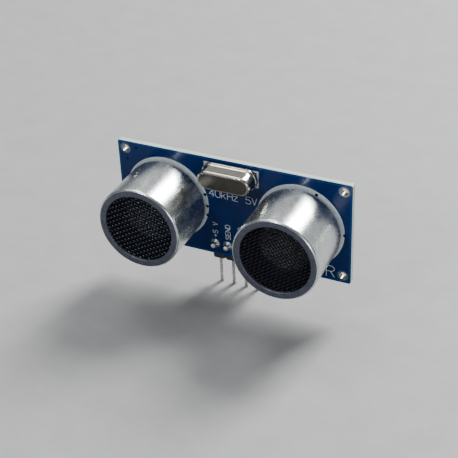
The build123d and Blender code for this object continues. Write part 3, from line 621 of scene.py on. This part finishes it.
def add_crystal():
    """The can, with a soft front edge and a long fillet into its weld flange."""
    lo, hi = box_mm("crystal_can")
    flange_w, flange_h = hi.x - lo.x, hi.z - lo.z
    can_w, can_h = flange_w - 2 * FLANGE_STEP, flange_h - 2 * FLANGE_STEP
    flange_front = hi.y - FLANGE_T
    levels = []
    for a in QUARTER:
        inset = 2 * CRYSTAL_EDGE_R * (1 - math.sin(a))
        levels.append((can_w - inset, can_h - inset, lo.y + CRYSTAL_EDGE_R * (1 - math.cos(a))))
    for a in QUARTER:
        out = 2 * FILLET_OUT * (1 - math.cos(a))
        levels.append((can_w + out, can_h + out, flange_front - FILLET_RUN * (1 - math.sin(a))))
    levels += [
        (flange_w - 2 * FLANGE_EDGE, flange_h - 2 * FLANGE_EDGE, flange_front),
        (flange_w, flange_h, flange_front + FLANGE_EDGE),
        (flange_w, flange_h, hi.y - CRYSTAL_LIFT),
    ]
    shell = stadium_loft((lo + hi) / 2, levels)
    can = add_piece("crystal_drawn_can", shell, "nickel_silver", stands_for=["crystal_can"], smooth_angle=50)
    # The flat front face gets a far darker copy of the can's metal: painted reflection of dark surroundings.
    can.data.materials.append(MATERIALS["crystal_face"])
    for face in can.data.polygons:
        if face.center.y / MM < lo.y + FLAT_FACE_DEPTH:
            face.material_index = 1


# ---------------------------------------------------------------- board: pour, traces and print
POUR_RISE, INK_RISE = 0.03, 0.012
POUR_INSET, TRACE_W, CLEARANCE = 0.42, 0.3, 0.28
MASK_GAP, INK_GAP = 0.06, 0.12
VIA_BORE_R, VIA_LAND_R = 0.2, 0.38


def pads():
    """(X, Z, radius) of every bare round pad."""
    nodes = [f"{place}_hole_plating" for place in ("corner", "transducer", "crystal", "header")]
    return [(*centre_of(box), (box[1] - box[0]) / 2) for node in nodes for box in islands(node)]


PADS = pads()
LANDS = islands("rear_solder_lands")
LAND_CENTRES = [centre_of(box) for box in LANDS]
VIAS = centres("via_plating")
PIN_HOLES = [(x, PIN_Z) for x in PIN_XS]
CRYSTAL_HOLES = centres("crystal_hole_plating")
EYE_HOLES = centres("transducer_hole_plating")


def nearest(spots, x, z):
    return min(spots, key=lambda spot: math.hypot(spot[0] - x, spot[1] - z))


def via(x, z):
    return nearest(VIAS, x, z)


def land(x, z):
    return nearest(LAND_CENTRES, x, z)


# Each rear track runs from a land to another land, a via or a plated hole, by bends of its own.
REAR_TRACES = [
    [land(-3.81, -2.3), (-3.81, -3.3), (-4.35, -3.85), via(-7.9, -3.9)],
    [land(-2.54, -2.3), (-2.54, -5.4), (-1.27, -6.7), PIN_HOLES[1]],
    [land(-1.27, -2.3), (-1.27, -4.2), (1.27, -6.7), PIN_HOLES[2]],
    [land(0.0, -2.3), (0.0, -3.9), (3.81, -7.0), PIN_HOLES[3]],
    [land(3.81, -2.3), (3.81, -3.4), via(5.2, -4.3)],
    [land(-3.81, 3.1), (-3.81, 4.4), CRYSTAL_HOLES[0]],
    [land(0.0, 3.1), (0.0, 4.6), CRYSTAL_HOLES[1]],
    [land(3.81, 3.1), (4.6, 3.0), via(6.2, 3.0)],
    [land(1.27, 3.1), (1.27, 4.8), (3.0, 5.2), land(4.9, 6.9)],
    [land(-1.27, 3.1), (-1.27, 4.6), (-2.6, 5.4), land(-4.9, 6.9)],
    [land(-18.85, -2.7), (-18.85, -1.6), nearest(EYE_HOLES, -18, 0)],
    [land(-9.96, -2.7), (-9.96, -1.8), nearest(EYE_HOLES, -8, 0)],
    [land(-9.96, -8.1), (-10.6, -9.4), via(-11.2, -9.4)],
    [land(9.9, -2.7), (9.9, -1.6), nearest(EYE_HOLES, 8, 0)],
    [land(17.5, -2.7), (17.5, -1.5), nearest(EYE_HOLES, 18, 0)],
    [land(17.5, -8.1), (18.6, -6.8), via(18.6, -4.3)],
    [land(11.5, 4.2), land(11.5, 6.8)],
    [land(13.4, 4.2), land(13.4, 6.8)],
    [land(15.3, 4.2), land(15.3, 6.8)],
    [land(17.2, 4.2), land(17.2, 6.8)],
    [land(9.6, 2.8), (9.6, 1.6), nearest(EYE_HOLES, 8, 0)],
    [land(-15.3, 4.4), (-14.4, 5.6), land(-13.25, 6.35)],
    [land(-17.2, 4.4), land(-16.4, 6.6)],
    [land(-11.5, 4.4), land(-11.35, 6.35)],
]


def add_pour(name, y_skin, y_face, traces, open_lands):
    """The lacquer where it lies over foil: the pour and the traces, raised above the bare margin."""
    runs = runs_of(traces)
    half = TRACE_W / 2
    wide = half + CLEARANCE
    pour = grown((BOARD_LO.x, BOARD_HI.x, BOARD_LO.z, BOARD_HI.z), -POUR_INSET)
    outlines = [box_points(*pour)]
    outlines += [run_outline(a, b, half) for a, b in runs]
    outlines += [run_outline(a, b, wide) for a, b in runs]
    for x, z, r in PADS:
        outlines += [circle_points(x, z, r + MASK_GAP), circle_points(x, z, r + CLEARANCE)]
    for x, z in VIAS:
        outlines += [circle_points(x, z, VIA_BORE_R, 16), circle_points(x, z, VIA_LAND_R, 20)]
    for box in open_lands:
        outlines += [box_points(*grown(box, MASK_GAP)), box_points(*grown(box, CLEARANCE))]

    def in_land(x, z, gap):
        return any(in_box(x, z, grown(box, gap)) for box in open_lands)

    def foil_here(x, z):
        if not in_box(x, z, pour):
            return False
        near_pad = min(math.hypot(x - px, z - pz) - r for px, pz, r in PADS)
        near_via = min(math.hypot(x - vx, z - vz) for vx, vz in VIAS)
        if near_pad < MASK_GAP or near_via < VIA_BORE_R or in_land(x, z, MASK_GAP):
            return False
        if near_via < VIA_LAND_R:
            return True
        near_run = min((distance_to_run(x, z, a, b) for a, b in runs), default=math.inf)
        if near_run < half:
            return True
        return near_run > wide and near_pad > CLEARANCE and not in_land(x, z, CLEARANCE)

    add_piece(name, flat_layer(outlines, foil_here, y_skin, y_face), "blue_solder_mask", "poured")


GLYPH_W, GLYPH_H = 4.0, 6.0
STROKES = {  # on a grid of GLYPH_W by GLYPH_H
    "4": [[(3, 0), (3, 6), (0, 2), (4, 2)]],
    "0": [[(0, 1.2), (0, 4.8), (1.2, 6), (2.8, 6), (4, 4.8), (4, 1.2), (2.8, 0), (1.2, 0), (0, 1.2)]],
    "5": [[(3.8, 6), (0.4, 6), (0.2, 3.4), (2.6, 3.6), (4, 2.4), (4, 1.2), (2.8, 0), (1, 0), (0, 0.9)]],
    "+": [[(2, 1.2), (2, 4.8)], [(0.2, 3), (3.8, 3)]],
    "k": [[(0, 0), (0, 6)], [(3.2, 4), (0, 1.6)], [(1.3, 2.6), (3.4, 0)]],
    "z": [[(0, 4), (3.4, 4), (0, 0), (3.4, 0)]],
    "A": [[(0, 0), (2, 6), (4, 0)], [(0.7, 2), (3.3, 2)]],
    "D": [[(0, 0), (0, 6), (2.4, 6), (4, 4.4), (4, 1.6), (2.4, 0), (0, 0)]],
    "E": [[(4, 0), (0, 0), (0, 6), (4, 6)], [(0, 3), (3, 3)]],
    "H": [[(0, 0), (0, 6)], [(4, 0), (4, 6)], [(0, 3), (4, 3)]],
    "N": [[(0, 0), (0, 6), (4, 0), (4, 6)]],
    "R": [[(0, 0), (0, 6), (2.8, 6), (4, 5), (4, 4), (2.8, 3), (0, 3)], [(2, 3), (4, 0)]],
    "S": [[(4, 5), (3, 6), (1, 6), (0, 5), (0, 4), (1, 3), (3, 3), (4, 2), (4, 1), (3, 0), (1, 0), (0, 1)]],
    "T": [[(2, 0), (2, 6)], [(0, 6), (4, 6)]],
    "V": [[(0, 6), (2, 0), (4, 6)]],
    " ": [],
}


def lettering(text, middle_x, middle_z, height, line, step=5.6, upright=False, facing=1):
    """Runs of one line of lettering, centred on a spot. step is the pitch of the glyphs on their grid,
    and facing is 1 for print read from the front and -1 for print read from behind."""
    size = height / GLYPH_H
    length = ((len(text) - 1) * step + GLYPH_W) * size
    routes = []
    for index, glyph in enumerate(text):
        for stroke in STROKES[glyph]:
            route = []
            for u, v in stroke:
                along = ((u + index * step) * size - length / 2) * facing
                rise = v * size - height / 2
                if upright:
                    route.append((middle_x - rise, middle_z + along))
                else:
                    route.append((middle_x + along, middle_z + rise))
            routes.append(route)
    return [(a, b, line / 2) for a, b in runs_of(routes)]


def box_runs(box, line):
    corners = box_points(*box)
    return [(a, b, line / 2) for a, b in zip(corners, corners[1:] + corners[:1])]


def add_print(name, y_skin, y_face, runs, rings, open_lands, stands_for):
    """White print as one thin layer, kept off the bare pads. Each run is (from, to, half its width)."""
    outlines = [run_outline(a, b, half, 6) for a, b, half in runs]
    for x, z, inner, outer in rings:
        outlines += [circle_points(x, z, inner, 128), circle_points(x, z, outer, 128)]
    bare = [(x, z, r + INK_GAP) for x, z, r in PADS] + [(x, z, VIA_BORE_R + INK_GAP) for x, z in VIAS]
    bare_boxes = [grown(box, INK_GAP) for box in open_lands]
    outlines += [circle_points(x, z, r, 24) for x, z, r in bare]
    outlines += [box_points(*box) for box in bare_boxes]

    def printed(x, z):
        if any(math.hypot(x - px, z - pz) < r for px, pz, r in bare):
            return False
        if any(in_box(x, z, box) for box in bare_boxes):
            return False
        if any(inner < math.hypot(x - cx, z - cz) < outer for cx, cz, inner, outer in rings):
            return True
        return any(distance_to_run(x, z, a, b) < half for a, b, half in runs)

    add_piece(name, flat_layer(outlines, printed, y_skin, y_face), "white_ink", stands_for=stands_for)


RING_INNER, RING_OUTER = 7.0, 8.35
BOX_HALF_W, BOX_HALF_H, BOX_LINE = 5.15, 1.55, 0.34
RATING_X, RATING_Z, RATING_H, RATING_STEP = 0.18, 2.95, 1.45, 4.98
PIN_LABELS = ["+5 V", "SEND", "READ", "0 V"]
PIN_LABEL_SHIFT, PIN_LABEL_Z, PIN_LABEL_H, PIN_LABEL_STEP = 0.15, -4.95, 0.95, 5.3
EYE_LETTER_X, EYE_LETTER_Z, EYE_LETTER_H = 18.9, -8.35, 2.3
FINE_LINE, LETTER_LINE = 0.1, 0.12


def add_front_print():
    """Ring round each transducer, box round the crystal, rating, pin labels and a letter for each eye."""
    z = middle("crystal_can").z
    runs = box_runs((-BOX_HALF_W, BOX_HALF_W, z - BOX_HALF_H, z + BOX_HALF_H), BOX_LINE)
    runs += lettering("40kHz 5V", RATING_X, RATING_Z, RATING_H, FINE_LINE, RATING_STEP)
    for label, pin_x in zip(PIN_LABELS, PIN_XS):
        x = pin_x + PIN_LABEL_SHIFT
        runs += lettering(label, x, PIN_LABEL_Z, PIN_LABEL_H, FINE_LINE, PIN_LABEL_STEP, upright=True)
    for letter, x in (("T", -EYE_LETTER_X), ("R", EYE_LETTER_X)):
        runs += lettering(letter, x, EYE_LETTER_Z, EYE_LETTER_H, LETTER_LINE)
    rings = [(c.x, c.z, RING_INNER, RING_OUTER) for c in EYES.values()]
    skin = FRONT - POUR_RISE
    add_print("front_print", skin - INK_RISE, skin, runs, rings, [], ["front_legend_ink"])


PACKAGE_OUT_X, PACKAGE_IN_Z = 0.25, 0.2
PACKAGE_LINE, REAR_LETTER_LINE, REAR_LETTER_H = 0.18, 0.18, 1.5
DOT_SHIFT_X, DOT_SHIFT_Z, DOT_L, DOT_R = 0.55, 0.5, 0.05, 0.2
CHIP_BAR_OFF, CHIP_BAR_REACH, CHIP_BAR_HALF = 0.74, 0.7, 0.08


def package_runs(node):
    """A frame along the sides of a package and a dot by its first lead."""
    lo, hi = box_mm(node)
    x0, x1 = lo.x - PACKAGE_OUT_X, hi.x + PACKAGE_OUT_X
    z0, z1 = lo.z + PACKAGE_IN_Z, hi.z - PACKAGE_IN_Z
    dot_x, dot_z = lo.x - DOT_SHIFT_X, lo.z - DOT_SHIFT_Z
    dot = ((dot_x, dot_z), (dot_x, dot_z + DOT_L), DOT_R)
    return [*box_runs((x0, x1, z0, z1), PACKAGE_LINE), dot]


def chip_runs(box):
    """A bar along each long side of a chip."""
    x, z = centre_of(box)
    x0, x1, z0, z1 = box
    runs = []
    for side in (-CHIP_BAR_OFF, CHIP_BAR_OFF):
        if z1 - z0 > x1 - x0:
            ends = (x + side, z - CHIP_BAR_REACH), (x + side, z + CHIP_BAR_REACH)
        else:
            ends = (x - CHIP_BAR_REACH, z + side), (x + CHIP_BAR_REACH, z + side)
        runs.append((*ends, CHIP_BAR_HALF))
    return runs


def add_rear_print():
    """Frames and bars round the parts, and a letter for each eye."""
    runs = []
    for node in ("driver_package", "microcontroller_package", "amplifier_package"):
        runs += package_runs(node)
    for node in ("chip_resistor_bodies", "chip_capacitor_bodies"):
        for box in islands(node):
            runs += chip_runs(box)
    for letter, x, z in (("T", -20.6, 2.0), ("R", 20.6, -1.8)):
        runs += lettering(letter, x, z, REAR_LETTER_H, REAR_LETTER_LINE, facing=-1)
    skin = REAR + POUR_RISE
    add_print("rear_print", skin, skin + INK_RISE, runs, [], LANDS, ["rear_legend_ink"])


def add_board():
    add_pour("front_lacquer_over_foil", FRONT - POUR_RISE, FRONT, [], [])
    add_pour("rear_lacquer_over_foil", REAR, REAR + POUR_RISE, REAR_TRACES, LANDS)
    add_front_print()
    add_rear_print()


# ---------------------------------------------------------------- solder
SOLDER_STEPS, SOLDER_HOLLOW = 10, 2.1
SOLDER_SHOULDER, SOLDER_SHOULDER_PART, SOLDER_CROWN = 0.05, 0.55, 0.07

# How uneven a cone is, how fast that changes round it and along it, and what sets cones apart
UNEVEN, UNEVEN_ROUND, UNEVEN_ALONG, UNEVEN_APART = 0.07, 1.3, 1.5, 3.1


def solder_cone(spot, base_y, tip_y, base_r, tip_r, seed):
    """A hollow-sided cone of solder with a slightly uneven edge."""
    rise = tip_y - base_y
    profile = [(0, base_y)]
    for i in range(SOLDER_STEPS + 1):
        t = i / SOLDER_STEPS
        hollow = (1 - t) ** SOLDER_HOLLOW
        profile.append((tip_r + (base_r - tip_r) * hollow, base_y + rise * t))
    profile.append((tip_r * SOLDER_SHOULDER_PART, tip_y + math.copysign(SOLDER_SHOULDER, rise)))
    profile.append((0, tip_y + math.copysign(SOLDER_CROWN, rise)))

    def wobble(a, y):
        u, v = math.cos(a) * UNEVEN_ROUND, math.sin(a) * UNEVEN_ROUND
        return 1 + UNEVEN * noise(Vector((u + seed * UNEVEN_APART, v, y * UNEVEN_ALONG)))

    return lathe(profile, spot, 40, wobble)


# Each pair of radii is a cone's base and tip.
HEADER_FRONT_RS, HEADER_REAR_RS = (0.84, 0.46), (0.80, 0.44)
HEADER_FRONT_LIFT = 0.4 * POUR_RISE
REAR_JOINTS = {"transducer": (EYE_HOLES, (0.93, 0.48)), "crystal": (CRYSTAL_HOLES, (0.7, 0.28))}


def add_header_solder():
    """A cone on each side of the board round each pin. The front ones start below the pour's face."""
    front_base = FRONT - HEADER_FRONT_LIFT
    cones = []
    for i, spot in enumerate(PIN_HOLES):
        cones.append(solder_cone(spot, front_base, HEADER_LO.y, *HEADER_FRONT_RS, i))
        cones.append(solder_cone(spot, REAR, HEADER_HI.y, *HEADER_REAR_RS, i + 7))
    add_piece("header_joints", joined(cones), "solder", stands_for=["header_solder"], smooth_angle=60)


def add_rear_solder():
    """The rear joints of the transducers and the crystal."""
    for owner, (holes, radii) in REAR_JOINTS.items():
        node = f"{owner}_solder"
        top = box_mm(node)[1].y
        cones = [solder_cone(spot, REAR, top, *radii, i + 20) for i, spot in enumerate(holes)]
        add_piece(f"{owner}_joints", joined(cones), "solder", stands_for=[node], smooth_angle=60)


# ---------------------------------------------------------------- CAD nodes
def dress_cad_nodes():
    """Gives every CAD node its slot's material and smooth shading."""
    slots = {row["node"]: row["material_slot"] for row in frame["record"]["subparts"]}
    for name, node in frame["nodes"].items():
        node.data.materials.clear()
        # The via plating gets the near-black via_bore metal: painted shade of the via holes.
        node.data.materials.append(MATERIALS["via_bore" if name == "via_plating" else slots[name]])
        node.data.shade_smooth()
        node.data.set_sharp_from_angle(angle=math.radians(30))


# ---------------------------------------------------------------- floor, lights and camera
FLOOR_HALF, FLOOR_GAP = 1200, 0.02
FLOOR_DARK, FLOOR_LIGHT = (0.205, 0.205, 0.205), (0.225, 0.225, 0.225)


def add_floor():
    bottom = cad_lo.z / MM - FLOOR_GAP
    corners = box_points(-FLOOR_HALF, FLOOR_HALF, -FLOOR_HALF, FLOOR_HALF)
    mesh = bpy.data.meshes.new("floor")
    mesh.from_pydata([Vector((x, y, bottom)) * MM for x, y in corners], [], [(0, 1, 2, 3)])
    floor = bpy.data.objects.new("floor", mesh)
    bpy.context.scene.collection.objects.link(floor)
    mesh.materials.append(speckled("pale_floor", FLOOR_DARK, FLOOR_LIGHT, 0, (0.6, 0.75), 1, 0))


def add_softbox(name, towards, distance, size, power):
    """A rectangular area light in a direction from the sensor, facing it."""
    data = bpy.data.lights.new(name, "AREA")
    data.shape = "RECTANGLE"
    data.size, data.size_y = size[0] * MM, size[1] * MM
    data.energy = power
    lamp = bpy.data.objects.new(name, data)
    bpy.context.scene.collection.objects.link(lamp)
    spot = Vector(towards).normalized() * distance * MM
    lamp.location = spot
    lamp.rotation_mode = "QUATERNION"
    lamp.rotation_quaternion = spot.to_track_quat("Z", "Y")


# Each softbox: direction from the sensor, distance, width and height, power in watts
SOFTBOXES = {
    "key": ((0.24, 0.656, 0.716), 640, (206, 350), 13.0),
    "rear_left": ((-0.45, 0.72, 0.52), 450, (240, 200), 0.055),
    "rear_right": ((0.60, 0.75, 0.28), 450, (240, 200), 0.08),
    "horizon": ((0.663, 0.748, -0.01), 420, (150, 8), 0.022),
    "front_top": ((-0.25, -0.78, 0.57), 480, (44, 36), 0.65),
    "front_right": ((0.64, -0.75, 0.14), 500, (160, 200), 0.65),
    "overhead": ((-0.37, 0.25, 0.90), 500, (150, 150), 0.7),
    "top_fill": ((-0.3, -0.1, 0.95), 520, (600, 600), 1.8),
}
AMBIENT_COLOUR, AMBIENT_STRENGTH = (0.80, 0.86, 0.95, 1), 0.28


def add_lights():
    for name, placing in SOFTBOXES.items():
        add_softbox(name, *placing)
    world = bpy.data.worlds.new("studio")
    bpy.context.scene.world = world
    world.use_nodes = True
    background = world.node_tree.nodes["Background"]
    background.inputs["Color"].default_value = AMBIENT_COLOUR
    background.inputs["Strength"].default_value = AMBIENT_STRENGTH


CAMERA_AZIMUTH, CAMERA_ELEVATION, CAMERA_ROLL = 26.075, 33.562, -2.516
CAMERA_DISTANCE = 207.37
CAMERA_TARGET = (2.052, -6.0, 0.266)
CAMERA_LENS, SENSOR = 92.56, 36.0


def add_camera():
    data = bpy.data.cameras.new("camera")
    data.sensor_width = SENSOR
    data.lens = CAMERA_LENS
    data.clip_start, data.clip_end = 0.01, 10
    camera = bpy.data.objects.new("camera", data)
    bpy.context.scene.collection.objects.link(camera)
    azimuth, elevation = math.radians(CAMERA_AZIMUTH), math.radians(CAMERA_ELEVATION)
    level = Vector((math.sin(azimuth), -math.cos(azimuth), 0))
    back = level * math.cos(elevation) + Vector((0, 0, math.sin(elevation)))
    right = Vector((math.cos(azimuth), math.sin(azimuth), 0))
    up = back.cross(right)
    roll = math.radians(CAMERA_ROLL)
    across = right * math.cos(roll) + up * math.sin(roll)
    upward = up * math.cos(roll) - right * math.sin(roll)
    turn = Matrix((across, upward, back)).transposed().to_4x4()
    spot = (Vector(CAMERA_TARGET) + back * CAMERA_DISTANCE) * MM
    camera.matrix_world = Matrix.Translation(spot) @ turn
    bpy.context.scene.camera = camera


dress_cad_nodes()
add_eyes()
add_crystal()
add_board()
add_header_solder()
add_rear_solder()
add_floor()
add_lights()
add_camera()
